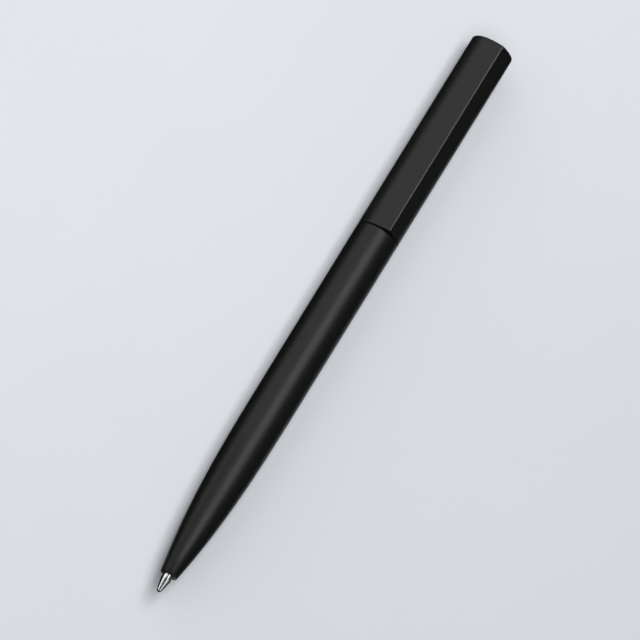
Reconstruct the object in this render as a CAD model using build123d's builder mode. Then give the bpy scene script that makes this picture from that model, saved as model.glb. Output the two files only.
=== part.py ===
from build123d import *
import os
from math import acos, cos, sin, sqrt

# Twist-action ballpoint pen, in millimetres.
# The pen lies along X on the plane Z = 0, with its point towards +X and its ridge straight up.
# Stations are measured along the pen's axis from the writing end towards the cap end, with the point out.

# Driving dimensions
overall_length = 142.45
barrel_diameter = 9.6
point_reach = 4.3
lower_barrel_length = 88.5
seam_gap = 0.3
ridge_rise = 1.25
dome_radius = 21.0
shell_wall = 0.9
travel = 5.5
twist_angle = 150.0
refill_diameter = 3.0
point_diameter = 2.3
ball_diameter = 1.0

# Fits
running_gap = 0.05
seat_gap = 0.02
edge_break = 0.12
overrun = 1.0

barrel_radius = barrel_diameter / 2
refill_radius = refill_diameter / 2
point_radius = point_diameter / 2
shell_bore_radius = barrel_radius - shell_wall
pressed_radius = shell_bore_radius - seat_gap
nose_station = point_reach
seam_station = nose_station + lower_barrel_length
shell_station = seam_station + seam_gap
tip_x = overall_length / 2
towards_cap = (-1, 0, 0)
pen_axis = Axis((tip_x, 0, barrel_radius), towards_cap)
profile_plane = Plane(origin=(tip_x, 0, barrel_radius), x_dir=towards_cap, z_dir=(0, 1, 0))


def across(station):
    """Plane square to the pen at a station. It faces the cap end, with its own Y axis up."""
    return Plane(origin=(tip_x - station, 0, barrel_radius), x_dir=(0, -1, 0), z_dir=towards_cap)


def level(station, height=0):
    """Plane parallel to the table, above or below the pen's axis at a station."""
    return Plane(origin=(tip_x - station, 0, barrel_radius + height), z_dir=(0, 0, 1))


def outline(*points):
    """Half profile through (station, radius) points, to be turned about the pen's axis."""
    with BuildSketch(profile_plane) as half:
        with BuildLine():
            Polyline(*points, close=True)
        make_face()
    return half.sketch


def tube_outline(start, end, inner_radius, outer_radius):
    """Half profile of a plain tube between two stations."""
    return outline((start, inner_radius), (start, outer_radius), (end, outer_radius), (end, inner_radius))


def rod_outline(start, end, radius):
    """Half profile of a plain rod between two stations."""
    return outline((start, 0), (start, radius), (end, radius), (end, 0))


def dome_station(radius):
    """Station of the domed cap end at a radius from the axis."""
    return overall_length - dome_radius + sqrt(dome_radius**2 - radius**2)


os.makedirs("parts", exist_ok=True)

# Writing ball, held in the point's rolled lip.
ball_radius = ball_diameter / 2

with BuildPart() as writing_ball:
    with BuildSketch(profile_plane):
        with BuildLine():
            ball_arc = CenterArc((ball_radius, 0), ball_radius, 0, 180)
            Line(ball_arc @ 0, ball_arc @ 1)
        make_face()
    revolve(axis=pen_axis)
writing_ball.part.label = "writing_ball"
export_step(writing_ball.part, "parts/writing_ball.step")

# Refill point: a turned metal point with a cone, a ball seat, an ink channel and a shank in the tube.
# The tube starts just behind the spring's seat in the nose.
point_guide_length = 4.7
shoulder_clearance = 0.5
lip_setback = 0.3
lip_wall = 0.06
cone_end = 3.1
shank_length = 4.5
feed_bore_diameter = 1.2
feed_bore_start = 4.5
ink_channel_diameter = 0.4

spring_seat_station = nose_station + point_guide_length
point_shoulder = spring_seat_station + shoulder_clearance
shank_end = point_shoulder + shank_length
seat_radius = ball_radius + seat_gap
lip_radius = sqrt(seat_radius**2 - (ball_radius - lip_setback) ** 2)
feed_bore_radius = feed_bore_diameter / 2
ink_channel_radius = ink_channel_diameter / 2
seat_back = ball_radius + sqrt(seat_radius**2 - ink_channel_radius**2)

with BuildPart() as refill_point:
    with BuildSketch(profile_plane):
        with BuildLine():
            seat = ThreePointArc(
                (lip_setback, lip_radius),
                (ball_radius, seat_radius),
                (seat_back, ink_channel_radius),
            )
            Polyline(
                seat @ 1,
                (feed_bore_start, ink_channel_radius),
                (feed_bore_start, feed_bore_radius),
                (shank_end, feed_bore_radius),
                (shank_end, point_radius),
                (cone_end, point_radius),
                (lip_setback, lip_radius + lip_wall),
                seat @ 0,
            )
        make_face()
    revolve(axis=pen_axis)
refill_point.part.label = "refill_point"
export_step(refill_point.part, "parts/refill_point.step")

# Return spring: an open coil round the refill, between the nose's seat and the tube's ears.
spring_wire_diameter = 0.35
spring_clearance = 0.1
spring_length = 11.2
spring_turns = 9

spring_wire_radius = spring_wire_diameter / 2
spring_radius = refill_radius + spring_clearance + spring_wire_radius
spring_start = spring_seat_station + spring_wire_radius + seat_gap
ear_station = spring_seat_station + spring_length
spring_height = ear_station - spring_wire_radius - seat_gap - spring_start
spring_pitch = spring_height / spring_turns

with BuildPart() as return_spring:
    with BuildLine() as coil:
        Helix(spring_pitch, spring_height, spring_radius, (tip_x - spring_start, 0, barrel_radius), towards_cap)
    with BuildSketch(Plane(coil.line @ 0, z_dir=coil.line % 0)):
        Circle(spring_wire_radius)
    sweep(is_frenet=True)
return_spring.part.label = "return_spring"
export_step(return_spring.part, "parts/return_spring.step")
print("spring: gap between turns", round(spring_pitch - spring_wire_diameter, 3), "mm")

# Lower barrel: one turned shell. The nose is a cubic ogive that runs tangent into the cylinder.
# Its bore steps up from the point's hole to the spring's chamber, the main bore and the insert's seat.
nose_diameter = 3.8
nose_round = 0.3
taper_length = 49.0
ogive_pull_share = 1 / 3
point_hole_clearance = 0.1
chamber_clearance = 0.25
ear_room = 2.3
chamber_cone_length = 2.0
insert_seat_wall = 0.8
insert_step = 0.7
insert_length = 10.0

nose_radius = nose_diameter / 2
taper_end = nose_station + taper_length
ogive_pull = taper_length * ogive_pull_share
point_hole_radius = point_radius + point_hole_clearance
chamber_radius = spring_radius + spring_wire_radius + chamber_clearance
chamber_end = ear_station + ear_room + travel
main_bore_start = chamber_end + chamber_cone_length
insert_station = seam_station - insert_length
insert_radius = barrel_radius - insert_seat_wall
main_bore_radius = insert_radius - insert_step

with BuildPart() as lower_barrel:
    with BuildSketch(profile_plane):
        with BuildLine():
            ogive = Bezier(
                (nose_station, nose_radius),
                (nose_station + ogive_pull, barrel_radius),
                (taper_end - ogive_pull, barrel_radius),
                (taper_end, barrel_radius),
            )
            Polyline(
                ogive @ 1,
                (seam_station, barrel_radius),
                (seam_station, insert_radius),
                (insert_station, insert_radius),
                (insert_station, main_bore_radius),
                (main_bore_start, main_bore_radius),
                (chamber_end, chamber_radius),
                (spring_seat_station, chamber_radius),
                (spring_seat_station, point_hole_radius),
                (nose_station, point_hole_radius),
                ogive @ 0,
            )
        make_face()
    revolve(axis=pen_axis)
    rims = lower_barrel.edges().filter_by(GeomType.CIRCLE).group_by(Axis.X)
    nose_rim = rims[-1].sort_by(SortBy.RADIUS)[-1]
    seam_rim = rims[0].sort_by(SortBy.RADIUS)[-1]
    fillet(nose_rim, nose_round)
    fillet(seam_rim, edge_break)
lower_barrel.part.label = "lower_barrel"
export_step(lower_barrel.part, "parts/lower_barrel.step")

# Barrel insert: a brass bush pressed into the rear of the lower barrel. Its bore takes the housing's thread.
insert_wall = 0.5
insert_lead_in = 0.3

insert_bore_radius = insert_radius - insert_wall

with BuildPart() as barrel_insert:
    revolve(
        tube_outline(insert_station + seat_gap, seam_station, insert_bore_radius, insert_radius - seat_gap),
        axis=pen_axis,
    )
    bore_rims = barrel_insert.edges().filter_by(GeomType.CIRCLE).sort_by(SortBy.RADIUS)[:2]
    chamfer(bore_rims.sort_by(Axis.X)[0], insert_lead_in)
barrel_insert.part.label = "barrel_insert"
export_step(barrel_insert.part, "parts/barrel_insert.step")

# Drag ring: a round-section rubber ring in the housing's collar, which drags on the upper shell's bore.
drag_ring_section = 0.76
collar_land = 0.7

drag_ring_radius = pressed_radius - drag_ring_section / 2
drag_ring_station = seam_station + collar_land + seat_gap + drag_ring_section / 2
collar_groove_start = seam_station + collar_land
collar_groove_end = collar_groove_start + drag_ring_section + 2 * seat_gap
collar_end = collar_groove_end + collar_land

with BuildPart() as drag_ring:
    with BuildSketch(profile_plane):
        with Locations((drag_ring_station, drag_ring_radius)):
            Circle(drag_ring_section / 2)
    revolve(axis=pen_axis)
drag_ring.part.label = "drag_ring"
export_step(drag_ring.part, "parts/drag_ring.step")

# Thrust washer: a thin slip washer on the housing's collar, under the turning half.
# The housing's guide tube fits round the refill's socket, and what turns fits round that tube.
socket_wall = 0.58
guide_wall = 0.55
washer_thickness = 0.4
washer_width_share = 0.74

socket_radius = refill_radius + seat_gap
plunger_radius = socket_radius + socket_wall
housing_bore_radius = plunger_radius + running_gap
guide_radius = housing_bore_radius + guide_wall
turning_bore_radius = guide_radius + running_gap
washer_end = collar_end + washer_thickness
washer_radius = turning_bore_radius + washer_width_share * (shell_bore_radius - turning_bore_radius)

with BuildPart() as thrust_washer:
    revolve(tube_outline(collar_end, washer_end, turning_bore_radius, washer_radius), axis=pen_axis)
thrust_washer.part.label = "thrust_washer"
export_step(thrust_washer.part, "parts/thrust_washer.step")

# Bearing bush: a plastic bush, pressed into the upper shell, that runs on the guide tube.
bush_length = 3.0

bush_start = washer_end + running_gap
bush_end = bush_start + bush_length

with BuildPart() as bearing_bush:
    revolve(tube_outline(bush_start, bush_end, turning_bore_radius, pressed_radius), axis=pen_axis)
    chamfer(bearing_bush.edges().filter_by(GeomType.CIRCLE).sort_by(SortBy.RADIUS)[-2:], edge_break)
bearing_bush.part.label = "bearing_bush"
export_step(bearing_bush.part, "parts/bearing_bush.step")

# Upper shell: a tube whose outside is a teardrop. Two flats leave the round tangentially and meet in a ridge.
ridge_round = 0.15

ridge_height = barrel_radius + ridge_rise
flat_angle = acos(barrel_radius / ridge_height)
flat_start_y = barrel_radius * cos(flat_angle)
flat_start_x = barrel_radius * sin(flat_angle)
dome_cut_radius = ridge_height + overrun

with BuildPart() as upper_shell:
    with BuildSketch(across(shell_station)) as teardrop:
        Circle(barrel_radius)
        with BuildLine():
            Polyline(
                (0, 0),
                (flat_start_x, flat_start_y),
                (0, ridge_height),
                (-flat_start_x, flat_start_y),
                close=True,
            )
        make_face()
        fillet(teardrop.vertices().sort_by(Axis.Y)[-1], ridge_round)
    extrude(amount=overall_length - shell_station)
    with BuildSketch(profile_plane):
        with BuildLine():
            dome = ThreePointArc(
                (dome_station(0), 0),
                (dome_station(dome_cut_radius / 2), dome_cut_radius / 2),
                (dome_station(dome_cut_radius), dome_cut_radius),
            )
            Polyline(
                dome @ 1,
                (overall_length + overrun, dome_cut_radius),
                (overall_length + overrun, 0),
                dome @ 0,
            )
        make_face()
    revolve(axis=pen_axis, mode=Mode.SUBTRACT)
    domed_end = upper_shell.faces().filter_by(GeomType.SPHERE)[0]
    seam_end = upper_shell.faces().filter_by(Axis.X).sort_by(Axis.X)[-1]
    fillet(domed_end.outer_wire().edges() + seam_end.outer_wire().edges(), edge_break)
    with BuildSketch(across(shell_station)):
        Circle(shell_bore_radius)
    extrude(amount=overall_length - shell_station, mode=Mode.SUBTRACT)
upper_shell.part.label = "upper_shell"
export_step(upper_shell.part, "parts/upper_shell.step")

# End plug: a cup pressed into the cap end, whose face carries on the shell's dome.
plug_length = 5.0
plug_wall = 1.0
plug_crown = 2.0

plug_start = dome_station(shell_bore_radius) - plug_length
plug_bore_radius = pressed_radius - plug_wall
plug_bore_end = overall_length - plug_crown

with BuildPart() as end_plug:
    with BuildSketch(profile_plane):
        with BuildLine():
            crown = ThreePointArc(
                (dome_station(0), 0),
                (dome_station(pressed_radius / 2), pressed_radius / 2),
                (dome_station(pressed_radius), pressed_radius),
            )
            Polyline(
                crown @ 1,
                (plug_start, pressed_radius),
                (plug_start, plug_bore_radius),
                (plug_bore_end, plug_bore_radius),
                (plug_bore_end, 0),
                crown @ 0,
            )
        make_face()
    revolve(axis=pen_axis)
    chamfer(end_plug.faces().filter_by(GeomType.SPHERE)[0].outer_wire().edges(), edge_break)
end_plug.part.label = "end_plug"
export_step(end_plug.part, "parts/end_plug.step")

# Cross pin: through the plunger, across both the straight and the helical slots.
# The room between the bush and the plug, less what the mechanism needs, is shared out before and behind the slots.
pin_diameter = 1.2
pin_setback = 0.3
pin_chamfer = 0.15
cam_slot_clearance = 0.1
clip_thickness = 0.5
clip_end_land = 1.1
sleeve_end_gap = 0.2
front_land_share = 0.5
rear_land_share = 0.18

cam_slot_width = pin_diameter + 2 * cam_slot_clearance
clip_groove_width = clip_thickness + seat_gap
needed_room = travel + cam_slot_width + sleeve_end_gap + clip_groove_width + clip_end_land
spare_room = plug_start - bush_end - needed_room
pin_station = bush_end + front_land_share * spare_room + cam_slot_width / 2
sleeve_end = pin_station + travel + cam_slot_width / 2 + rear_land_share * spare_room
pin_length = 2 * (shell_bore_radius - pin_setback)

with BuildPart() as cross_pin:
    with BuildSketch(level(pin_station, -pin_length / 2)):
        Circle(pin_diameter / 2)
    extrude(amount=pin_length)
    chamfer(cross_pin.edges().filter_by(GeomType.CIRCLE), pin_chamfer)
cross_pin.part.label = "cross_pin"
export_step(cross_pin.part, "parts/cross_pin.step")

# Cam slot: the space that the cross pin sweeps through the cam sleeve while the upper half turns.
# It is a left-hand helix of constant lead with a round seat at each end.
cam_lead = travel * 360 / twist_angle
cam_middle_radius = (turning_bore_radius + pressed_radius) / 2
cam_cut_depth = pressed_radius - turning_bore_radius + overrun
cam_start_centre = Vector(tip_x - pin_station, 0, barrel_radius)
cam_end_centre = Vector(tip_x - pin_station - travel, 0, barrel_radius)

with BuildPart() as cam_slot:
    with BuildLine() as slot_path:
        Helix(cam_lead, travel, cam_middle_radius, cam_start_centre, towards_cap, lefthand=True)
    start_radial = slot_path.line @ 0 - cam_start_centre
    end_radial = slot_path.line @ 1 - cam_end_centre
    with BuildSketch(Plane(slot_path.line @ 0, x_dir=start_radial, z_dir=slot_path.line % 0)):
        Rectangle(cam_cut_depth, cam_slot_width)
    sweep(is_frenet=True)
    with BuildSketch(Plane(cam_start_centre, z_dir=start_radial), Plane(cam_end_centre, z_dir=end_radial)):
        Circle(cam_slot_width / 2)
    extrude(amount=pressed_radius + overrun)

# Cam sleeve: pressed into the upper shell, with two opposite helical slots that drive the cross pin.
with BuildPart() as cam_sleeve:
    revolve(tube_outline(bush_end, sleeve_end, turning_bore_radius, pressed_radius), axis=pen_axis)
    add(cam_slot.part, mode=Mode.SUBTRACT)
    add(cam_slot.part.rotate(pen_axis, 180), mode=Mode.SUBTRACT)
cam_sleeve.part.label = "cam_sleeve"
export_step(cam_sleeve.part, "parts/cam_sleeve.step")

# Mechanism housing: a threaded spigot, a collar that seats on the insert, and a long guide tube.
# The tube's two straight slots let the cross pin slide but not turn.
spigot_setback = 1.5
pin_slot_clearance = 0.05
clip_groove_depth = 0.25

spigot_start = insert_station + spigot_setback
spigot_radius = insert_bore_radius - running_gap
collar_radius = shell_bore_radius - running_gap
collar_groove_radius = drag_ring_radius - drag_ring_section / 2 - seat_gap
slot_width = pin_diameter + 2 * pin_slot_clearance
clip_groove_start = sleeve_end + sleeve_end_gap
clip_groove_end = clip_groove_start + clip_groove_width
clip_groove_radius = guide_radius - clip_groove_depth
guide_end = clip_groove_end + clip_end_land

with BuildPart() as mechanism_housing:
    revolve(
        outline(
            (spigot_start, housing_bore_radius),
            (spigot_start, spigot_radius),
            (seam_station, spigot_radius),
            (seam_station, collar_radius),
            (collar_groove_start, collar_radius),
            (collar_groove_start, collar_groove_radius),
            (collar_groove_end, collar_groove_radius),
            (collar_groove_end, collar_radius),
            (collar_end, collar_radius),
            (collar_end, guide_radius),
            (clip_groove_start, guide_radius),
            (clip_groove_start, clip_groove_radius),
            (clip_groove_end, clip_groove_radius),
            (clip_groove_end, guide_radius),
            (guide_end, guide_radius),
            (guide_end, housing_bore_radius),
        ),
        axis=pen_axis,
    )
    with BuildSketch(level(pin_station + travel / 2)):
        SlotCenterToCenter(travel, slot_width)
    extrude(amount=guide_radius + overrun, both=True, mode=Mode.SUBTRACT)
mechanism_housing.part.label = "mechanism_housing"
export_step(mechanism_housing.part, "parts/mechanism_housing.step")

# Retaining ring: an open spring clip in the guide tube's groove, which keeps the cam sleeve on.
clip_width_share = 0.58
clip_mouth_share = 0.7

clip_bore_radius = clip_groove_radius + seat_gap
clip_radius = clip_bore_radius + clip_width_share * (shell_bore_radius - clip_bore_radius)
clip_mouth = 2 * clip_bore_radius * clip_mouth_share

with BuildPart() as retaining_ring:
    with BuildSketch(across(clip_groove_start + seat_gap / 2)):
        Circle(clip_radius)
        Circle(clip_bore_radius, mode=Mode.SUBTRACT)
        Rectangle(clip_mouth, 2 * clip_radius, align=(Align.CENTER, Align.MAX), mode=Mode.SUBTRACT)
    extrude(amount=clip_thickness)
retaining_ring.part.label = "retaining_ring"
export_step(retaining_ring.part, "parts/retaining_ring.step")

# Plunger: slides in the guide tube. A socket grips the refill's tail, and the cross pin goes through its body.
# So the place of the pin sets the refill's length.
pin_past_refill = 7.1
plunger_past_pin = 3.5
socket_depth = 4.0

refill_length = pin_station - pin_past_refill
plunger_start = refill_length - socket_depth
plunger_end = pin_station + plunger_past_pin
socket_end = refill_length + seat_gap

with BuildPart() as plunger:
    revolve(
        outline(
            (plunger_start, socket_radius),
            (plunger_start, plunger_radius),
            (plunger_end, plunger_radius),
            (plunger_end, 0),
            (socket_end, 0),
            (socket_end, socket_radius),
        ),
        axis=pen_axis,
    )
    with BuildSketch(level(pin_station)):
        Circle(pin_diameter / 2 + seat_gap)
    extrude(amount=plunger_radius + overrun, both=True, mode=Mode.SUBTRACT)
    chamfer(plunger.edges().filter_by(GeomType.CIRCLE).group_by(Axis.X)[0], pin_chamfer)
plunger.part.label = "plunger"
export_step(plunger.part, "parts/plunger.step")
print("refill: length", round(refill_length, 2), "mm")

# Refill tail plug: a vented plug in the tube's end.
tail_head_length = 2.0
tail_shank_length = 4.0
vent_diameter = 0.6

tube_end = refill_length - tail_head_length
tail_shank_start = tube_end - tail_shank_length
vent_radius = vent_diameter / 2

with BuildPart() as refill_tail_plug:
    revolve(
        outline(
            (tail_shank_start, vent_radius),
            (tail_shank_start, point_radius),
            (tube_end, point_radius),
            (tube_end, refill_radius),
            (refill_length, refill_radius),
            (refill_length, vent_radius),
        ),
        axis=pen_axis,
    )
refill_tail_plug.part.label = "refill_tail_plug"
export_step(refill_tail_plug.part, "parts/refill_tail_plug.step")

# Refill tube: a slim metal tube. Two pinched ears carry the return spring.
ear_clearance = 0.7
ear_thickness = 0.7
ear_reach = 0.45
ear_round_share = 0.33

ear_length = ear_room - ear_clearance
ear_span = refill_diameter + 2 * ear_reach
tube_bore_radius = point_radius + seat_gap

with BuildPart() as refill_tube:
    with BuildSketch(across(point_shoulder)):
        Circle(refill_radius)
    extrude(amount=tube_end - point_shoulder)
    with BuildSketch(across(ear_station)):
        RectangleRounded(ear_span, ear_thickness, ear_round_share * ear_thickness)
    extrude(amount=ear_length)
    with BuildSketch(across(point_shoulder)):
        Circle(tube_bore_radius)
    extrude(amount=tube_end - point_shoulder, mode=Mode.SUBTRACT)
refill_tube.part.label = "refill_tube"
export_step(refill_tube.part, "parts/refill_tube.step")

# Ink follower: the grease plug behind the ink, with air between it and the tail plug.
air_length = 17.0
follower_length = 4.0

follower_end = tail_shank_start - air_length
ink_end = follower_end - follower_length

with BuildPart() as ink_follower:
    revolve(rod_outline(ink_end, follower_end, point_radius), axis=pen_axis)
ink_follower.part.label = "ink_follower"
export_step(ink_follower.part, "parts/ink_follower.step")

# Ink column: fills the tube from the point's shank to the follower.
with BuildPart() as ink_column:
    revolve(rod_outline(shank_end, ink_end, point_radius), axis=pen_axis)
ink_column.part.label = "ink_column"
export_step(ink_column.part, "parts/ink_column.step")
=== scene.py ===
from math import acos, atan, cos, hypot, pi, radians, sin, sqrt, tan

import bmesh
import bpy
from mathutils import Matrix, Vector


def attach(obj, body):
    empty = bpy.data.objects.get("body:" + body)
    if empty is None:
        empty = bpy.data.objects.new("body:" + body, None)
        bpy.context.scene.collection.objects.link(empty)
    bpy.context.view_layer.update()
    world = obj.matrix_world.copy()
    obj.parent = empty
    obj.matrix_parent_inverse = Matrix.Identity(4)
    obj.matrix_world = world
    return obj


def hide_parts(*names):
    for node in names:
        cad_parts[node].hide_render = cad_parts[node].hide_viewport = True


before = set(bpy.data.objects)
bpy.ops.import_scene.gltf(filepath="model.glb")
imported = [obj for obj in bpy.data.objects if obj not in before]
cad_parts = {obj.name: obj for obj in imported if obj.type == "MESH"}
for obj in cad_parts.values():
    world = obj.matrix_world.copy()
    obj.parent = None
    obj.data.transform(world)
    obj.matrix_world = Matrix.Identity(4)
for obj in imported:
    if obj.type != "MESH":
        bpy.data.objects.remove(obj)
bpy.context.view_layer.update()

# Writing ball
# A ground tungsten carbide ball, one millimetre across, dark with ink, that rolls in the lip of the point.
# Like the point and the end plug, it is a half profile of stations and radii, turned about the pen's axis.
mm = 0.001

# The pen lies along X, with its point towards +X. Stations are millimetres back from the tip of the ball.
tip_x = 71.225 * mm
axis_height = 4.8 * mm
weld_distance = 0.0001 * mm
sharp_angle = radians(32)


def feed(tree, socket, value):
    """Links a socket to another one, or sets its plain value."""
    if isinstance(value, bpy.types.NodeSocket):
        tree.links.new(value, socket)
    else:
        socket.default_value = value


def add_node(tree, kind, inputs=None, **options):
    """Adds a node, sets its options and feeds its inputs."""
    node = tree.nodes.new(kind)
    for option, value in options.items():
        setattr(node, option, value)
    for socket, value in (inputs or {}).items():
        feed(tree, node.inputs[socket], value)
    return node


def calc(tree, operation, first, second=0.0):
    """The result of one math node."""
    return add_node(tree, "ShaderNodeMath", {0: first, 1: second}, operation=operation).outputs[0]


def take_sizes(tree, **sizes):
    """Gives a tree its named inputs and puts back the sockets that read them."""
    for label, kind in sizes.items():
        words = label.replace("_", " ")
        tree.interface.new_socket(words, in_out="INPUT", socket_type="NodeSocket" + kind)
    return add_node(tree, "NodeGroupInput").outputs


def rings_and_angles(tree, rings, sides):
    """A grid of rings, with each point's ring number and its angle about the axis."""
    columns = calc(tree, "ADD", sides, 1.0)
    grid = add_node(tree, "GeometryNodeMeshGrid", {"Vertices X": rings, "Vertices Y": columns})
    index = add_node(tree, "GeometryNodeInputIndex").outputs[0]
    ring = calc(tree, "FLOOR", calc(tree, "DIVIDE", calc(tree, "ADD", index, 0.5), columns))
    side = calc(tree, "SUBTRACT", index, calc(tree, "MULTIPLY", ring, columns))
    angle = calc(tree, "MULTIPLY", calc(tree, "DIVIDE", side, sides), 2 * pi)
    return grid.outputs["Mesh"], ring, angle


def turn_round(tree, grid, station, radius, angle, sizes):
    """Moves a grid's points to their station, radius and angle about the pen's axis."""
    rise = calc(tree, "MULTIPLY", radius, calc(tree, "COSINE", angle))
    place = add_node(
        tree,
        "ShaderNodeCombineXYZ",
        {
            "X": calc(tree, "SUBTRACT", sizes["Tip X"], station),
            "Y": calc(tree, "MULTIPLY", radius, calc(tree, "SINE", angle)),
            "Z": calc(tree, "ADD", sizes["Axis Height"], rise),
        },
    )
    moved = add_node(tree, "GeometryNodeSetPosition", {"Geometry": grid, "Position": place.outputs[0]})
    return moved.outputs[0]


def close_and_finish(tree, skin, finish):
    """Closes the seam, shades smooth up to real edges, and gives the piece its finish."""
    tree.interface.new_socket("Piece", in_out="OUTPUT", socket_type="NodeSocketGeometry")
    closed = add_node(tree, "GeometryNodeMergeByDistance", {"Geometry": skin, "Distance": weld_distance})
    smooth = add_node(
        tree,
        "GeometryNodeSetShadeSmooth",
        {"Geometry": closed.outputs[0], "Shade Smooth": True},
    )
    bend = add_node(tree, "GeometryNodeInputMeshEdgeAngle").outputs["Unsigned Angle"]
    edged = add_node(
        tree,
        "GeometryNodeSetShadeSmooth",
        {
            "Geometry": smooth.outputs[0],
            "Selection": calc(tree, "GREATER_THAN", bend, sharp_angle),
            "Shade Smooth": False,
        },
        domain="EDGE",
    )
    real = add_node(tree, "GeometryNodeRealizeInstances", {"Geometry": edged.outputs[0]})
    done = add_node(tree, "GeometryNodeSetMaterial", {"Geometry": real.outputs[0], "Material": finish})
    add_node(tree, "NodeGroupOutput", {"Piece": done.outputs[0]})


def face_outwards(mesh):
    """Turns the faces of a closed mesh outwards."""
    skin = bmesh.new()
    skin.from_mesh(mesh)
    bmesh.ops.recalc_face_normals(skin, faces=skin.faces)
    if skin.calc_volume(signed=True) < 0:
        bmesh.ops.reverse_faces(skin, faces=skin.faces)
    skin.to_mesh(mesh)
    skin.free()


def make_piece(name, start, tree, sizes):
    """Runs a geometry tree once with its sizes and keeps the result as a plain mesh."""
    piece = bpy.data.objects.new(name, start)
    bpy.context.scene.collection.objects.link(piece)
    making = piece.modifiers.new("making", "NODES")
    making.node_group = tree
    for item in tree.interface.items_tree:
        if item.in_out == "INPUT" and item.name in sizes:
            making[item.identifier] = sizes[item.name]
    made = piece.evaluated_get(bpy.context.evaluated_depsgraph_get())
    result = bpy.data.meshes.new_from_object(made)
    piece.modifiers.remove(making)
    piece.data = result
    result.name = name
    face_outwards(result)
    return piece


# The lathe takes a profile as loose points: X is the station from the pen's tip and Y the radius.
lathe = bpy.data.node_groups.new("lathe", "GeometryNodeTree")
given = take_sizes(
    lathe,
    Profile="Geometry",
    Sides="Int",
    Tip_X="Float",
    Axis_Height="Float",
    Finish="Material",
)
profile_size = add_node(lathe, "GeometryNodeAttributeDomainSize", {0: given["Profile"]})
grid, ring, angle = rings_and_angles(lathe, profile_size.outputs["Point Count"], given["Sides"])
profile_point = add_node(
    lathe,
    "GeometryNodeSampleIndex",
    {
        "Geometry": given["Profile"],
        "Value": add_node(lathe, "GeometryNodeInputPosition").outputs[0],
        "Index": ring,
    },
    data_type="FLOAT_VECTOR",
)
split = add_node(lathe, "ShaderNodeSeparateXYZ", {0: profile_point.outputs[0]}).outputs
lathe_skin = turn_round(lathe, grid, split["X"], split["Y"], angle, given)
close_and_finish(lathe, lathe_skin, given["Finish"])


def turned(name, profile, sides, finish):
    """A piece turned from (station, radius) points in millimetres."""
    half = bpy.data.meshes.new(name + "_profile")
    half.from_pydata([(station * mm, radius * mm, 0) for station, radius in profile], [], [])
    sizes = {"Sides": sides, "Tip X": tip_x, "Axis Height": axis_height, "Finish": finish}
    return make_piece(name, half, lathe, sizes)


def new_finish(name):
    """A new material, its node tree, its shader and the piece's own coordinates."""
    finish = bpy.data.materials.new(name)
    finish.use_nodes = True
    tree = finish.node_tree
    coords = add_node(tree, "ShaderNodeTexCoord").outputs["Object"]
    return finish, tree, tree.nodes["Principled BSDF"], coords


def place_group(tree, group, inputs):
    """Places a shared shader group in a material with the material's own values."""
    return add_node(tree, "ShaderNodeGroup", inputs, node_tree=group).outputs


# The mottle group is a soft cloudy change between two values, for tone, roughness and grain.
mottle = bpy.data.node_groups.new("mottle", "ShaderNodeTree")
given = take_sizes(mottle, Vector="Vector", Scale="Float", Low="Float", High="Float")
mottle.interface.new_socket("Value", in_out="OUTPUT", socket_type="NodeSocketFloat")
cloud = add_node(
    mottle,
    "ShaderNodeTexNoise",
    {"Vector": given["Vector"], "Scale": given["Scale"], "Detail": 4.0, "Roughness": 0.6},
)
spread = add_node(
    mottle,
    "ShaderNodeMapRange",
    {
        "Value": cloud.outputs["Fac"],
        "From Min": 0.3,
        "From Max": 0.7,
        "To Min": given["Low"],
        "To Max": given["High"],
    },
)
add_node(mottle, "NodeGroupOutput", {"Value": spread.outputs[0]})


def mottled(tree, coords, scale, low=0.0, high=1.0):
    """The mottle group's value in a material."""
    return place_group(tree, mottle, {"Vector": coords, "Scale": scale, "Low": low, "High": high})["Value"]


def toned(tree, amount, first, second):
    """A colour between two tones, each one plain or from another node."""
    mix = add_node(tree, "ShaderNodeMix", {"Factor": amount}, data_type="RGBA")
    # The colour sockets of a mix node share their names with others, so they go by number.
    for socket, tone in ((mix.inputs[6], first), (mix.inputs[7], second)):
        feed(tree, socket, (*tone, 1) if isinstance(tone, tuple) else tone)
    return mix.outputs[2]


def clouded(tree, coords, scale, dark, light):
    """A colour that drifts in clouds between two tones."""
    return toned(tree, mottled(tree, coords, scale), dark, light)


def bumped(tree, shader, height, strength, depth):
    """Gives the shader a bump of this depth in millimetres."""
    bump = add_node(
        tree,
        "ShaderNodeBump",
        {"Height": height, "Strength": strength, "Distance": depth * mm},
    )
    tree.links.new(bump.outputs[0], shader.inputs["Normal"])


def set_shader(tree, shader, **values):
    """Sets plain values on the shader's own sockets, or links what changes over the surface."""
    for label, value in values.items():
        feed(tree, shader.inputs[label.replace("_", " ")], value)


ground_carbide, tree, shader, coords = new_finish("ground_carbide")
set_shader(
    tree,
    shader,
    Base_Color=clouded(tree, coords, scale=9000.0, dark=(0.09, 0.09, 0.095), light=(0.16, 0.16, 0.165)),
    Metallic=1.0,
    Roughness=mottled(tree, coords, scale=5000.0, low=0.2, high=0.32),
)
bumped(tree, shader, mottled(tree, coords, scale=16000.0), strength=0.15, depth=0.004)

ball_radius = 0.5
ball_steps = 24
ball_profile = []
for step in range(ball_steps + 1):
    turn = pi * step / ball_steps
    ball_profile.append((ball_radius - ball_radius * cos(turn), ball_radius * sin(turn)))
writing_ball = turned("rolling_ball", ball_profile, sides=48, finish=ground_carbide)
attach(writing_ball, "ball")
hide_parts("writing_ball")

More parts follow.
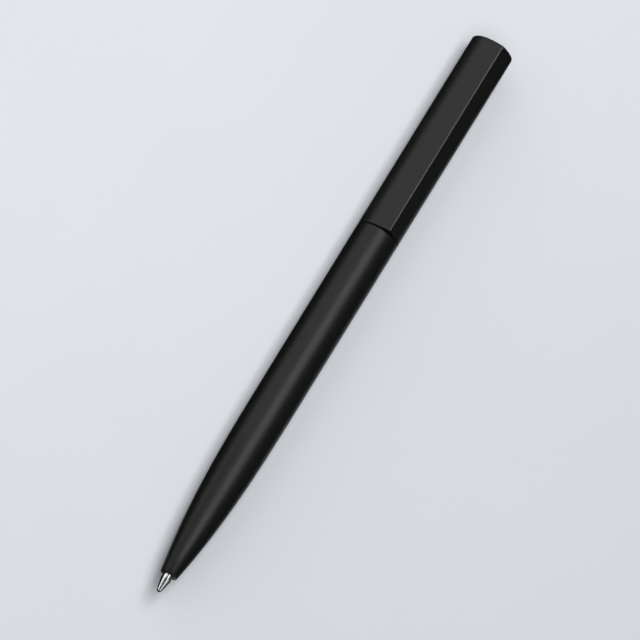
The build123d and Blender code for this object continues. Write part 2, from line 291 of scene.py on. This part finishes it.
# Refill point
# Nickel silver rod turned to a slim cylinder and a cone, with its thin lip rolled in over the ball.
# The shank behind it is pressed into the refill tube, and the bore shows only at the lip.
turning_marks = bpy.data.node_groups.new("turning_marks", "ShaderNodeTree")
given = take_sizes(turning_marks, Vector="Vector", Marks="Float")
turning_marks.interface.new_socket("Height", in_out="OUTPUT", socket_type="NodeSocketFloat")
along = add_node(turning_marks, "ShaderNodeSeparateXYZ", {0: given["Vector"]}).outputs["X"]
fine_marks = add_node(
    turning_marks,
    "ShaderNodeTexNoise",
    {
        "W": calc(turning_marks, "MULTIPLY", along, given["Marks"]),
        "Scale": 1.0,
        "Detail": 3.0,
        "Roughness": 0.7,
    },
    noise_dimensions="1D",
)
add_node(turning_marks, "NodeGroupOutput", {"Height": fine_marks.outputs["Fac"]})


def marked(tree, shader, coords, marks, strength, depth):
    """Gives the shader the fine marks of turning, so many to the metre."""
    height = place_group(tree, turning_marks, {"Vector": coords, "Marks": marks})["Height"]
    bumped(tree, shader, height, strength, depth)


turned_metal, tree, shader, coords = new_finish("turned_nickel_silver")
set_shader(
    tree,
    shader,
    Base_Color=clouded(tree, coords, scale=1500.0, dark=(0.76, 0.755, 0.74), light=(0.84, 0.835, 0.825)),
    Metallic=1.0,
    Roughness=mottled(tree, coords, scale=2500.0, low=0.10, high=0.17),
)
marked(tree, shader, coords, marks=16000.0, strength=0.2, depth=0.004)

point_radius = 1.15
lip_station = 0.3
lip_wall = 0.06
lip_roll = 0.012
lip_face = 0.03
lip_land = 0.25
cone_end = 3.1
shoulder_round = 0.06
shoulder_drop = 0.006
shoulder_end = 0.6
shank_end = 14.0
shank_bore = 0.6
feed_radius = 0.2
feed_end = 4.5
seat_radius = 0.52
seat_steps = 9

lip_inner = sqrt(seat_radius**2 - (ball_radius - lip_station) ** 2)
lip_outer = lip_inner + lip_wall
cone_slope = (point_radius - lip_outer) / (cone_end - lip_station)
seat_back = acos(feed_radius / seat_radius)
seat_front = -acos(lip_inner / seat_radius)
point_profile = [(feed_end, feed_radius)]
for step in range(seat_steps + 1):
    turn = seat_back + (seat_front - seat_back) * step / seat_steps
    point_profile.append((ball_radius + seat_radius * sin(turn), seat_radius * cos(turn)))
point_profile += [
    (lip_station - lip_roll, lip_inner + lip_face),
    (lip_station, lip_outer),
    (lip_station + lip_land, lip_outer + lip_land * cone_slope),
    (cone_end - 2 * shoulder_round, point_radius - 2 * shoulder_round * cone_slope),
    (cone_end, point_radius - shoulder_drop),
    (cone_end + 2 * shoulder_round, point_radius),
    (cone_end + shoulder_end, point_radius),
    (shank_end, point_radius),
    (shank_end, shank_bore),
    (feed_end, shank_bore),
    (feed_end, feed_radius),
]
refill_point = turned("turned_point", point_profile, sides=96, finish=turned_metal)
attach(refill_point, "refill")
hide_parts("refill_point")


# Refill tube
# A thin drawn metal tube with two pinched ears that carry the return spring.
# Faint drawing lines run along it.
def give_finish(finish, *names):
    """Gives solids that keep their own shape a finish."""
    for name in names:
        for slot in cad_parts[name].material_slots:
            slot.material = finish


drawn_tube, tree, shader, coords = new_finish("drawn_tube")
stretch = (0.03, 1.0, 1.0)
lengthwise = add_node(tree, "ShaderNodeMapping", {"Vector": coords, "Scale": stretch}).outputs[0]
set_shader(
    tree,
    shader,
    Base_Color=clouded(tree, lengthwise, scale=6000.0, dark=(0.56, 0.54, 0.51), light=(0.66, 0.64, 0.61)),
    Metallic=1.0,
    Roughness=mottled(tree, lengthwise, scale=9000.0, low=0.26, high=0.42),
)
bumped(tree, shader, mottled(tree, lengthwise, scale=12000.0), strength=0.2, depth=0.004)
give_finish(drawn_tube, "refill_tube")

# Ink and grease
# The black paste fills the tube behind the point, and a plug of clear grease behind it keeps it from drying.
# Both are sealed inside the tube.
black_paste, tree, shader, coords = new_finish("black_ink_paste")
set_shader(
    tree,
    shader,
    Base_Color=clouded(tree, coords, scale=1200.0, dark=(0.006, 0.006, 0.02), light=(0.014, 0.013, 0.04)),
    Roughness=mottled(tree, coords, scale=2500.0, low=0.06, high=0.16),
)
bumped(tree, shader, mottled(tree, coords, scale=1800.0), strength=0.2, depth=0.02)
give_finish(black_paste, "ink_column")

clear_grease, tree, shader, coords = new_finish("clear_grease")
set_shader(
    tree,
    shader,
    Base_Color=clouded(tree, coords, scale=900.0, dark=(0.68, 0.62, 0.42), light=(0.80, 0.76, 0.58)),
    Roughness=mottled(tree, coords, scale=1500.0, low=0.12, high=0.3),
)
bumped(tree, shader, mottled(tree, coords, scale=1500.0), strength=0.25, depth=0.03)
give_finish(clear_grease, "ink_follower")

# Moulded plastic pieces
# The refill's tail plug, the plunger, the slip washer and the bearing bush are moulded in natural acetal.
# It is off-white, slightly waxy, with a fine moulded grain.
natural_acetal, tree, shader, coords = new_finish("natural_acetal")
set_shader(
    tree,
    shader,
    Base_Color=clouded(tree, coords, scale=700.0, dark=(0.78, 0.78, 0.74), light=(0.85, 0.85, 0.83)),
    Roughness=mottled(tree, coords, scale=3000.0, low=0.38, high=0.5),
)
bumped(tree, shader, mottled(tree, coords, scale=7000.0), strength=0.15, depth=0.01)
give_finish(natural_acetal, "refill_tail_plug", "plunger", "thrust_washer", "bearing_bush")

# Spring steel pieces
# The return spring is wound from drawn wire, the clip is stamped, and the cross pin is cut from ground rod.
# All three are bright steel with a thin film of oil.
spring_steel, tree, shader, coords = new_finish("spring_steel")
set_shader(
    tree,
    shader,
    Base_Color=clouded(tree, coords, scale=2500.0, dark=(0.52, 0.52, 0.53), light=(0.64, 0.64, 0.66)),
    Metallic=1.0,
    Roughness=mottled(tree, coords, scale=6000.0, low=0.2, high=0.34),
)
bumped(tree, shader, mottled(tree, coords, scale=14000.0), strength=0.2, depth=0.005)
give_finish(spring_steel, "return_spring", "retaining_ring", "cross_pin")

# Lower barrel
# Aluminium tube turned to a long ogive nose, bored for the refill and sprayed with a soft black coat.
# Its radius falls with the cube of the distance along the taper, so the nose runs tangent into the cylinder.
soft_black, tree, shader, coords = new_finish("soft_touch_black")
coat_tone = clouded(
    tree,
    coords,
    scale=1400.0,
    dark=(0.0032, 0.0032, 0.0033),
    light=(0.0066, 0.0066, 0.0067),
)

# Where the coat is rubbed it is paler and a little smoother, in patches. The pale tone is also painted light:
# a painted highlight along the ridge and a painted glint on the rims and the nose. Each piece says where, as
# "edge".
wear_and_highlight_tone = (0.08, 0.08, 0.081)
rubbed_polish = 0.06
wear_and_highlight_mask = add_node(tree, "ShaderNodeAttribute", attribute_name="edge").outputs["Fac"]
wear_and_highlight_patches = calc(tree, "MULTIPLY", wear_and_highlight_mask, mottled(tree, coords, scale=1400.0, low=0.45, high=0.95))
coat_roughness = mottled(tree, coords, scale=450.0, low=0.37, high=0.42)
set_shader(
    tree,
    shader,
    Base_Color=toned(tree, wear_and_highlight_patches, coat_tone, wear_and_highlight_tone),
    Roughness=calc(tree, "SUBTRACT", coat_roughness, calc(tree, "MULTIPLY", wear_and_highlight_patches, rubbed_polish)),
    Specular_IOR_Level=0.3,
)
fine_grain = mottled(tree, coords, scale=9000.0)
coarse_grain = mottled(tree, coords, scale=2600.0, high=0.3)
bumped(tree, shader, calc(tree, "ADD", fine_grain, coarse_grain), strength=0.45, depth=0.009)

barrel_law = bpy.data.node_groups.new("ogive_barrel", "GeometryNodeTree")
given = take_sizes(
    barrel_law,
    Tip_X="Float",
    Axis_Height="Float",
    Nose_Station="Float",
    Taper_Length="Float",
    Seam_Station="Float",
    Nose_Radius="Float",
    Barrel_Radius="Float",
    Nose_Round="Float",
    Rim_Break="Float",
    Hole_Radius="Float",
    Chamber_Station="Float",
    Chamber_End="Float",
    Chamber_Radius="Float",
    Bore_Station="Float",
    Bore_Radius="Float",
    Seat_Station="Float",
    Seat_Radius="Float",
    Rub="Float",
    Rings="Int",
    Sides="Int",
    Finish="Material",
)


def law(operation, first, second=0.0):
    """One step of the barrel's law."""
    return calc(barrel_law, operation, first, second)


def either(test, when_true, when_false):
    """One value or the other, by a test that gives one or nought."""
    choices = {"Switch": test, "False": when_false, "True": when_true}
    return add_node(barrel_law, "GeometryNodeSwitch", choices, input_type="FLOAT").outputs[0]


# The inside, from the seam to the nose: the insert's seat, the main bore, the spring's chamber and the hole.
inside = (
    ("Seam Station", "Seat Radius"),
    ("Seat Station", "Seat Radius"),
    ("Seat Station", "Bore Radius"),
    ("Bore Station", "Bore Radius"),
    ("Chamber End", "Chamber Radius"),
    ("Chamber Station", "Chamber Radius"),
    ("Chamber Station", "Hole Radius"),
    ("Nose Station", "Hole Radius"),
)

# The first ring is the rim of the hole. On the outside, rings lie closer together towards both rounded ends.
half_ring = 0.5
grid, ring, angle = rings_and_angles(barrel_law, given["Rings"], given["Sides"])
first_inside = law("SUBTRACT", given["Rings"], len(inside))
share = law("DIVIDE", law("SUBTRACT", ring, 1.0), law("SUBTRACT", first_inside, 2.0))
share = law("MINIMUM", law("MAXIMUM", share, 0.0), 1.0)
eased = law("MULTIPLY", law("SUBTRACT", 1.0, law("COSINE", law("MULTIPLY", share, pi))), 0.5)
length = law("SUBTRACT", given["Seam Station"], given["Nose Station"])
station = law("ADD", given["Nose Station"], law("MULTIPLY", eased, length))

# The ogive itself.
taper_power = 3.0
rise = law("SUBTRACT", given["Barrel Radius"], given["Nose Radius"])
taper_end = law("ADD", given["Nose Station"], given["Taper Length"])
to_taper_end = law("MAXIMUM", law("SUBTRACT", taper_end, station), 0.0)
taper_left = law("DIVIDE", to_taper_end, given["Taper Length"])
ogive = law("SUBTRACT", given["Barrel Radius"], law("MULTIPLY", rise, law("POWER", taper_left, taper_power)))

# The round at the nose touches both the nose face and the start of the ogive.
slope = law("DIVIDE", law("MULTIPLY", rise, taper_power), given["Taper Length"])
lean = law("SQRT", law("ADD", law("MULTIPLY", slope, slope), 1.0))
round_station = law("ADD", given["Nose Station"], given["Nose Round"])
round_height = law(
    "SUBTRACT",
    law("ADD", given["Nose Radius"], law("MULTIPLY", slope, given["Nose Round"])),
    law("MULTIPLY", given["Nose Round"], lean),
)
touch = law("SUBTRACT", round_station, law("DIVIDE", law("MULTIPLY", given["Nose Round"], slope), lean))
back = law("SUBTRACT", round_station, station)
round_square = law("MULTIPLY", given["Nose Round"], given["Nose Round"])
bulge = law("SUBTRACT", round_square, law("MULTIPLY", back, back))
nose_round = law("ADD", round_height, law("SQRT", law("MAXIMUM", bulge, 0.0)))
in_nose = law("LESS_THAN", station, touch)
radius = either(in_nose, nose_round, ogive)

# The rim at the seam is broken with a small round.
break_start = law("SUBTRACT", given["Seam Station"], given["Rim Break"])
break_centre = law("SUBTRACT", given["Barrel Radius"], given["Rim Break"])
past = law("MAXIMUM", law("SUBTRACT", station, break_start), 0.0)
break_square = law("MULTIPLY", given["Rim Break"], given["Rim Break"])
drop = law("SUBTRACT", break_square, law("MULTIPLY", past, past))
rim = law("ADD", break_centre, law("SQRT", law("MAXIMUM", drop, 0.0)))
radius = law("MINIMUM", radius, rim)
in_rim = law("GREATER_THAN", station, break_start)

# The inside's rings take their own stations and radii. The last one meets the first, so the skin is closed.
radius = either(law("LESS_THAN", ring, half_ring), given["Hole Radius"], radius)
for place, (ring_station, ring_radius) in enumerate(inside):
    reached = law("GREATER_THAN", ring, law("ADD", first_inside, place - half_ring))
    station = either(reached, given[ring_station], station)
    radius = either(reached, given[ring_radius], radius)

barrel_skin = turn_round(barrel_law, grid, station, radius, angle, given)
# The nose round and the rim at the seam get a little of the coat's pale tone: some wear, and a painted glint.
wear_highlight_ends = law("MULTIPLY", law("MAXIMUM", in_nose, in_rim), given["Rub"])
wear_highlight_mark = add_node(
    barrel_law,
    "GeometryNodeStoreNamedAttribute",
    {"Geometry": barrel_skin, "Name": "edge", "Value": wear_highlight_ends},
    data_type="FLOAT",
    domain="POINT",
)
close_and_finish(barrel_law, wear_highlight_mark.outputs[0], given["Finish"])

barrel_sizes = {
    "Tip X": tip_x,
    "Axis Height": axis_height,
    "Nose Station": 4.3 * mm,
    "Taper Length": 49.0 * mm,
    "Seam Station": 92.8 * mm,
    "Nose Radius": 1.9 * mm,
    "Barrel Radius": 4.8 * mm,
    "Nose Round": 0.3 * mm,
    "Rim Break": 0.12 * mm,
    "Hole Radius": 1.25 * mm,
    "Chamber Station": 9.0 * mm,
    "Chamber End": 28.0 * mm,
    "Chamber Radius": 2.2 * mm,
    "Bore Station": 30.0 * mm,
    "Bore Radius": 3.3 * mm,
    "Seat Station": 82.8 * mm,
    "Seat Radius": 4.0 * mm,
    "Rub": 0.12,
    "Rings": 175,
    "Sides": 192,
    "Finish": soft_black,
}
lower_barrel = make_piece("ogive_barrel", bpy.data.meshes.new("ogive_start"), barrel_law, barrel_sizes)
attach(lower_barrel, "barrel")
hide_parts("lower_barrel")


# Brass mechanism
# The insert pressed into the barrel, the housing screwed into it and the cam sleeve in the upper half.
# They are turned from brass bar, with fine marks round them and a little tarnish.
def brass_looks(tree, shader, coords):
    """Gives the shader the marks of turned brass, and puts back its tone and roughness."""
    marked(tree, shader, coords, marks=9000.0, strength=0.3, depth=0.008)
    tone = clouded(tree, coords, scale=500.0, dark=(0.58, 0.40, 0.17), light=(0.76, 0.57, 0.28))
    return tone, mottled(tree, coords, scale=900.0, low=0.22, high=0.38)


turned_brass, tree, shader, coords = new_finish("turned_brass")
brass_tone, brass_roughness = brass_looks(tree, shader, coords)
set_shader(tree, shader, Base_Color=brass_tone, Metallic=1.0, Roughness=brass_roughness)
give_finish(turned_brass, "barrel_insert", "cam_sleeve")

# The housing's collar lies under the joint between the two halves, so it is painted black and dull, as
# painted shade in the deep gap of the joint.
collar_front = tip_x - 92.0 * mm
collar_back = tip_x - 96.0 * mm
collar_shade_tone = (0.006, 0.006, 0.006)
collar_dullness = 0.3
brass_with_shaded_collar, tree, shader, coords = new_finish("brass_with_painted_shade_collar")
brass_tone, brass_roughness = brass_looks(tree, shader, coords)
along = add_node(tree, "ShaderNodeSeparateXYZ", {0: coords}).outputs["X"]
before_back = calc(tree, "GREATER_THAN", along, collar_back)
behind_front = calc(tree, "LESS_THAN", along, collar_front)
collar_shade_mask = calc(tree, "MULTIPLY", before_back, behind_front)
set_shader(
    tree,
    shader,
    Base_Color=toned(tree, collar_shade_mask, brass_tone, collar_shade_tone),
    Metallic=calc(tree, "SUBTRACT", 1.0, collar_shade_mask),
    Roughness=calc(tree, "ADD", brass_roughness, calc(tree, "MULTIPLY", collar_shade_mask, collar_dullness)),
)
give_finish(brass_with_shaded_collar, "mechanism_housing")

# Drag ring
# A small black rubber ring in the collar of the housing. It rubs on the bore of the upper half.
# Its surface is dull, with a fine moulded texture.
ring_rubber, tree, shader, coords = new_finish("ring_rubber")
set_shader(
    tree,
    shader,
    Base_Color=clouded(tree, coords, scale=2000.0, dark=(0.014, 0.014, 0.014), light=(0.026, 0.026, 0.026)),
    Roughness=mottled(tree, coords, scale=4000.0, low=0.62, high=0.78),
)
bumped(tree, shader, mottled(tree, coords, scale=9000.0), strength=0.3, depth=0.008)
give_finish(ring_rubber, "drag_ring")

# Upper shell
# Extruded aluminium with a teardrop section: two flats leave the round tangentially and meet in a ridge.
# Both ends are broken with a small round, the cap end is domed, and it wears the same black coat.
shell_radius = 4.8
ridge_height = 6.05
ridge_round = 0.2
shell_start = 93.1
pen_length = 142.45
dome_radius = 21.0
bore_radius = 3.9
front_bore = 3.0
rear_bore = 6.0
edge_break = 0.12
end_round = 0.25
support = 0.04
round_steps = 150
ridge_steps = 12
flat_steps = 14

flat_angle = acos(shell_radius / ridge_height)
ridge_centre = (shell_radius - ridge_round) / cos(flat_angle)
flat_length = ridge_centre * sin(flat_angle)
flat_points = [support]
flat_points += [flat_length * step / flat_steps for step in range(1, flat_steps)]
flat_points.append(flat_length - support)


def flat_point(along, side):
    """A point of one flat, at a distance along it from the round. The side is 1 towards +Y, or -1."""
    out_y, out_z = side * sin(flat_angle), cos(flat_angle)
    y = shell_radius * out_y - side * along * cos(flat_angle)
    z = shell_radius * out_z + along * sin(flat_angle)
    return y, z, out_y, out_z, 0.0


# The outline goes once round: the round back, one flat, the ridge, the other flat.
# Each entry is a point across and up from the axis, its outward direction, and whether it is on the ridge.
section = []
for step in range(round_steps + 1):
    turn = flat_angle + (2 * pi - 2 * flat_angle) * step / round_steps
    section.append((shell_radius * sin(turn), shell_radius * cos(turn), sin(turn), cos(turn), 0.0))
section += [flat_point(along, -1) for along in flat_points]
for step in range(ridge_steps + 1):
    turn = flat_angle * (2 * step / ridge_steps - 1)
    y, z = ridge_round * sin(turn), ridge_centre + ridge_round * cos(turn)
    section.append((y, z, sin(turn), cos(turn), 1.0))
section += [flat_point(along, 1) for along in reversed(flat_points)]


def dome_station(radius):
    """Station of the domed end at a radius from the axis."""
    return pen_length - dome_radius + sqrt(dome_radius**2 - radius**2)


# A ring is a list of points round the shell: station, across, up, and how much of the coat's pale tone it
# gets there, for wear and painted highlight.
def bore_ring(station):
    """The section's points brought in to the bore."""
    scales = [bore_radius / hypot(y, z) for y, z, _, _, _ in section]
    return [(station, y * scale, z * scale, 0.0) for scale, (y, z, _, _, _) in zip(scales, section)]


def inset_ring(station, inset, wear_highlight, ridge_wear_highlight):
    """The section brought in along its own outward directions, with the pale tone, wear and painted
    highlight, of its sides and its ridge.
    """
    return [
        (station, y - out_y * inset, z - out_z * inset, max(wear_highlight, ridge * ridge_wear_highlight))
        for y, z, out_y, out_z, ridge in section
    ]


# This half is handled most, so its sides are rubbed a little all over. Its ridge gets the most of the coat's
# pale tone, which is wear and a painted highlight, and its front rim gets a little, which is wear and a
# painted glint.
hand_rub = 0.05
rim_wear_highlight = 0.1
break_steps = 6
shell_rings = [bore_ring(shell_start + front_bore), bore_ring(shell_start)]
for step in range(break_steps + 1):
    turn = pi / 2 * step / break_steps
    back_by = edge_break - edge_break * cos(turn)
    inset = edge_break - edge_break * sin(turn)
    shell_rings.append(inset_ring(shell_start + back_by, inset, rim_wear_highlight, sin(turn) ** 2))
shell_rings.append(inset_ring(shell_start + edge_break + support, 0.0, hand_rub, 1.0))
side_steps = 24
side_margin = 1.0
side_end = dome_station(ridge_height) - side_margin
for step in range(1, side_steps + 1):
    station = shell_start + edge_break + (side_end - shell_start) * step / side_steps
    shell_rings.append(inset_ring(station, 0.0, hand_rub, 1.0))

# At the cap end each point of the section has its own place on the dome, and the round touches side and dome.
end_points = []
for y, z, out_y, out_z, ridge in section:
    fall = (y * out_y + z * out_z) / sqrt(dome_radius**2 - y**2 - z**2)
    corner = dome_station(hypot(y, z)) + end_round * (fall - sqrt(1 + fall**2))
    end_points.append((y, z, out_y, out_z, max(ridge, hand_rub), fall, corner))
shell_rings.append([(corner - support, y, z, wear_highlight) for y, z, _, _, wear_highlight, _, corner in end_points])
for step in range(break_steps + 1):
    ring_points = []
    for y, z, out_y, out_z, wear_highlight, fall, corner in end_points:
        turn = (pi / 2 - atan(fall)) * step / break_steps
        inset = end_round - end_round * cos(turn)
        at = corner + end_round * sin(turn)
        ring_points.append((at, y - out_y * inset, z - out_z * inset, wear_highlight * cos(turn) ** 2))
    shell_rings.append(ring_points)

# The domed face runs in from the round to the bore.
dome_steps = 8
rim_end = shell_rings[-1]
bore_end = bore_ring(dome_station(bore_radius))
for step in range(1, dome_steps + 1):
    part = step / dome_steps
    ring_points = []
    for (_, y, z, _), (_, bore_y, bore_z, _) in zip(rim_end, bore_end):
        dome_y, dome_z = y + (bore_y - y) * part, z + (bore_z - z) * part
        ring_points.append((dome_station(hypot(dome_y, dome_z)), dome_y, dome_z, 0.0))
    shell_rings.append(ring_points)
shell_rings.append(bore_ring(dome_station(bore_radius) - rear_bore))

# Each ring is joined to the next, and the last to the first, through the bore.
around = len(section)
shell_points = []
shell_wear_highlight = []
for points in shell_rings:
    shell_points += [(tip_x - station * mm, y * mm, axis_height + z * mm) for station, y, z, _ in points]
    shell_wear_highlight += [wear_highlight for _, _, _, wear_highlight in points]
shell_faces = []
for number in range(len(shell_rings)):
    here = number * around
    there = (number + 1) % len(shell_rings) * around
    for side in range(around):
        after = (side + 1) % around
        shell_faces.append((here + side, here + after, there + after, there + side))
shell_mesh = bpy.data.meshes.new("teardrop_shell")
shell_mesh.from_pydata(shell_points, [], shell_faces)
shell_wear_highlight_layer = shell_mesh.attributes.new("edge", "FLOAT", "POINT")
shell_wear_highlight_layer.data.foreach_set("value", shell_wear_highlight)
face_outwards(shell_mesh)
shell_mesh.shade_smooth()
shell_mesh.set_sharp_from_angle(angle=sharp_angle)
shell_mesh.materials.append(soft_black)
upper_shell = bpy.data.objects.new("teardrop_shell", shell_mesh)
bpy.context.scene.collection.objects.link(upper_shell)
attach(upper_shell, "cap")
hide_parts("upper_shell")

# End plug
# A black coated cup pressed into the cap end. Its face carries on the dome of the shell.
# A small chamfer round its face leaves a hairline joint.
plug_radius = 3.88
plug_wall = 1.0
plug_crown = 2.0
plug_depth = 5.0
plug_start = dome_station(bore_radius) - plug_depth
plug_edge = dome_station(plug_radius)
crown_edge = plug_radius - edge_break
crown_steps = 16
plug_profile = []
for step in range(crown_steps + 1):
    radius = crown_edge * step / crown_steps
    plug_profile.append((dome_station(radius), radius))

# The chamfer is slightly rounded, so it has a middle point, back and in by these shares of its size.
chamfer_back = 0.35
chamfer_in = 0.3
plug_profile += [
    (plug_edge - chamfer_back * edge_break, plug_radius - chamfer_in * edge_break),
    (plug_edge - edge_break, plug_radius),
    (plug_edge - edge_break - support, plug_radius),
    (plug_start, plug_radius),
    (plug_start, plug_radius - plug_wall),
    (pen_length - plug_crown, plug_radius - plug_wall),
    (pen_length - plug_crown, 0.0),
]
end_plug = turned("domed_plug", plug_profile, sides=128, finish=soft_black)
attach(end_plug, "cap")
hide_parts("end_plug")

# Studio
# A pale floor under the pen, a soft panel at its left, two narrow strips overhead and a faint room.
# Five black cards and a pale one show only in the pen's reflections, and shape their dark and light bands.
bpy.context.scene.view_settings.view_transform = "Standard"

pale_floor, tree, shader, coords = new_finish("pale_floor")
set_shader(
    tree,
    shader,
    Base_Color=clouded(tree, coords, scale=6.0, dark=(0.715, 0.745, 0.785), light=(0.75, 0.775, 0.815)),
    Roughness=0.6,
    Specular_IOR_Level=0.2,
)


def level_sheet(name, corners, height, finish):
    """A level sheet with these corners."""
    sheet_mesh = bpy.data.meshes.new(name)
    sheet_mesh.from_pydata([(x, y, height) for x, y in corners], [], [tuple(range(len(corners)))])
    sheet_mesh.materials.append(finish)
    sheet = bpy.data.objects.new(name, sheet_mesh)
    bpy.context.scene.collection.objects.link(sheet)
    return sheet


def between(low, high):
    """The corners of a plain sheet between two opposite ones."""
    return [low, (high[0], low[1]), high, (low[0], high[1])]


floor_reach = 2.0
floor_corners = between((-floor_reach, -floor_reach), (floor_reach, floor_reach))
floor = level_sheet("floor", floor_corners, 0.0, pale_floor)

black_card, tree, shader, _ = new_finish("black_card")
set_shader(tree, shader, Base_Color=(0.004, 0.004, 0.004, 1), Roughness=0.9, Specular_IOR_Level=0.0)


def flag_card(name, corners, height, finish):
    """A level card that shows only in reflections."""
    card = level_sheet(name, corners, height, finish)
    card.visible_camera = False
    card.visible_diffuse = False
    card.visible_transmission = False
    card.visible_shadow = False


# Cards on the floor keep the left edge and the shaded side dark. The right one leaves a strip of floor beside
# the pen, wider along the middle, that draws a thin light line down the barrel.
floor_card_height = 0.0006
right_card = [(-0.5, 0.0105), (-0.0712, 0.0105), (-0.045, 0.015), (-0.02, 0.0175)]
right_card += [(0.03, 0.0175), (0.057, 0.0135), (0.066, 0.008), (0.5, 0.008)]
right_card += [(0.5, 0.5), (-0.5, 0.5)]
flag_card("left_card", between((-0.3, -0.05), (0.3, -0.0048)), floor_card_height, black_card)
flag_card("right_card", right_card, floor_card_height, black_card)
flag_card("under_point_card", between((0.0655, -0.0048), (0.080, -0.0003)), floor_card_height, black_card)

# Cards above the pen darken the left of the nose and draw the dark and light streaks of the bright point.
upper_card_height = 0.015
point_card = [(0.0635, -0.0075), (0.0680, -0.0100), (0.0690, -0.0120), (0.080, -0.0120)]
point_card += [(0.080, 0.0014), (0.0690, 0.0014), (0.0635, 0.0002)]
flag_card("nose_card", between((0.030, -0.0150), (0.0655, -0.0110)), upper_card_height, black_card)
flag_card("point_card", point_card, upper_card_height, black_card)
flag_card("point_bounce", between((0.0655, 0.0026), (0.080, 0.012)), upper_card_height, pale_floor)


def placed(right, up, back, at):
    """The matrix of a thing at a place, from the directions of its three sides."""
    return Matrix(((*right, 0), (*up, 0), (*back, 0), (*at, 1))).transposed()


def soft_panel(name, lean, spread, distance, length, shift, radiance):
    """A soft panel over the pen that faces its axis and lies along it, shifted along X.

    It leans from straight up towards +Y, and spreads across, by so many degrees.
    """
    light = bpy.data.lights.new(name, "AREA")
    light.shape = "RECTANGLE"
    light.size = length
    light.size_y = 2 * distance * tan(radians(spread / 2))
    light.energy = radiance * pi * light.size * light.size_y
    panel = bpy.data.objects.new(name, light)
    bpy.context.scene.collection.objects.link(panel)
    along = Vector((1, 0, 0))
    across = Vector((0, cos(radians(lean)), -sin(radians(lean))))
    away = Vector((0, sin(radians(lean)), cos(radians(lean))))
    at = away * distance + Vector((shift, 0, axis_height))
    panel.matrix_world = placed(along, across, away, at)


# Each panel gives part of its light evenly and the rest over the cap half, so it falls off towards the nose.
even_place = {"distance": 0.7, "length": 1.3, "shift": -0.16}
cap_half_place = {"distance": 0.701, "length": 0.7, "shift": -0.46}
for name, lean, spread, radiance, even_share in (
    ("left_panel", -64.0, 62.0, 1.24, 0.72),
    ("first_strip", -13.5, 17.0, 4.15, 0.76),
    ("second_strip", 5.5, 17.0, 3.4, 0.76),
):
    soft_panel(name, lean, spread, radiance=radiance * even_share, **even_place)
    soft_panel(name + "_cap_half", lean, spread, radiance=radiance * (1 - even_share), **cap_half_place)

room = bpy.data.worlds.new("room")
room.use_nodes = True
room_light = room.node_tree.nodes["Background"]
room_light.inputs["Color"].default_value = (0.9, 0.95, 1.0, 1)
room_light.inputs["Strength"].default_value = 0.085
bpy.context.scene.world = room

# Camera
# It looks steeply down on the pen from the point's side, rolled so that the pen leans to the right.
# A long lens far away keeps the sides parallel, as in the photograph.
camera_distance = 6.0
aim_right = -1.356 * mm
aim_up = -0.350 * mm
camera_right = Vector((-0.4919, 0.7652, 0.4152))
camera_back = Vector((0.3450, -0.2666, 0.9000)).normalized()
camera_up = camera_back.cross(camera_right).normalized()
camera_right = camera_up.cross(camera_back)
look_at = Vector((0, 0, axis_height)) + camera_right * aim_right + camera_up * aim_up
camera_data = bpy.data.cameras.new("camera")
camera_data.lens = 1615.2
camera_data.sensor_width = 36
camera_data.clip_end = 20
camera = bpy.data.objects.new("camera", camera_data)
bpy.context.scene.collection.objects.link(camera)
camera.matrix_world = placed(camera_right, camera_up, camera_back, look_at + camera_back * camera_distance)
bpy.context.scene.camera = camera
